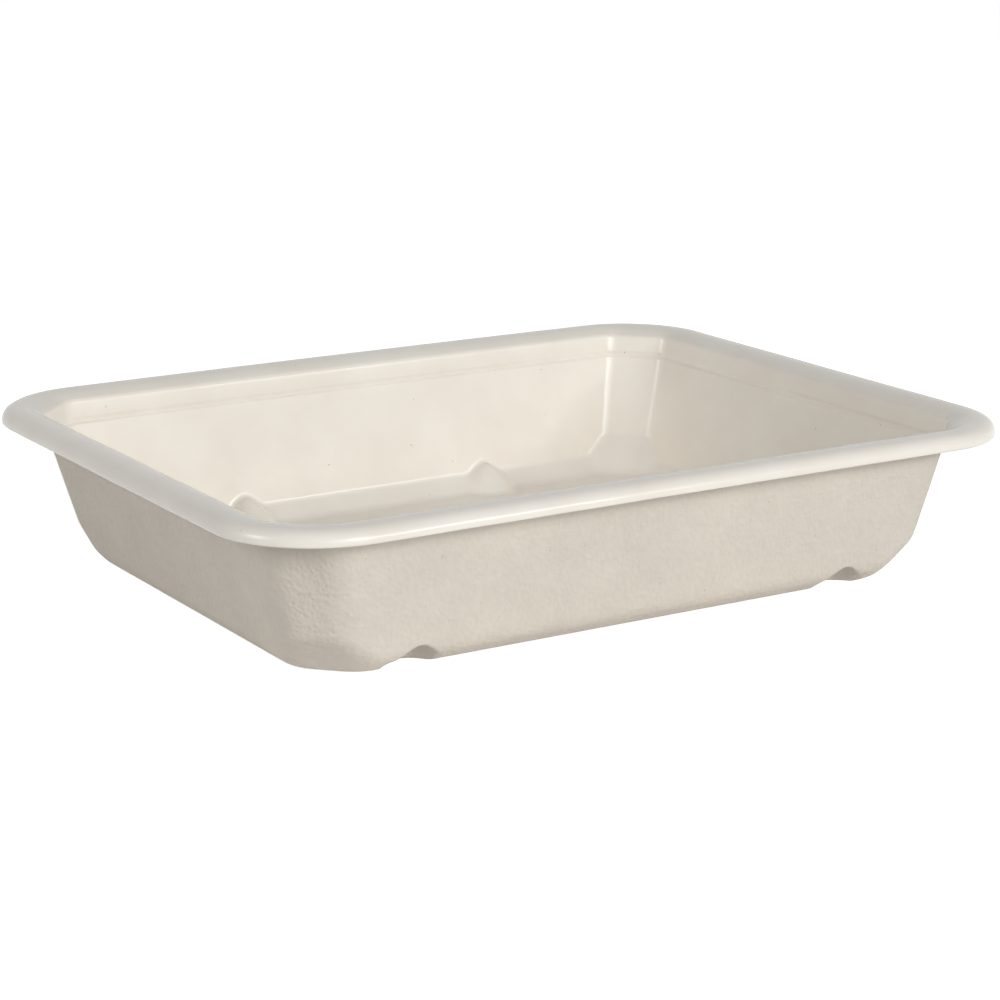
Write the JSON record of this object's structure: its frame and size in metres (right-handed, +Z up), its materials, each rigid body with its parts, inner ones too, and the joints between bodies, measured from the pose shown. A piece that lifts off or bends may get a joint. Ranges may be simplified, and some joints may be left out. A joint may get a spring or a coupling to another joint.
{
  "type": "moulded fibre meal tray",
  "caption": "Rectangular one-piece food tray of moulded sugarcane fibre, with sloping walls, flat corner faces, a turned-down rim and stacking lugs.",
  "frame": {"origin": "middle of the underside of the base, on the surface that the tray stands on", "axes": "+X along the long side, +Y along the short side to the wall with the lugs closer together, +Z up to the open top"},
  "size_m": [0.227, 0.179, 0.043],
  "materials": {
    "moulded_fibre": "pressed sugarcane fibre: satin and warm off-white inside, matt with a fine mesh grain outside"
  },
  "bodies": {
    "root": {"tray": "moulded_fibre"}
  },
  "joints": []
}
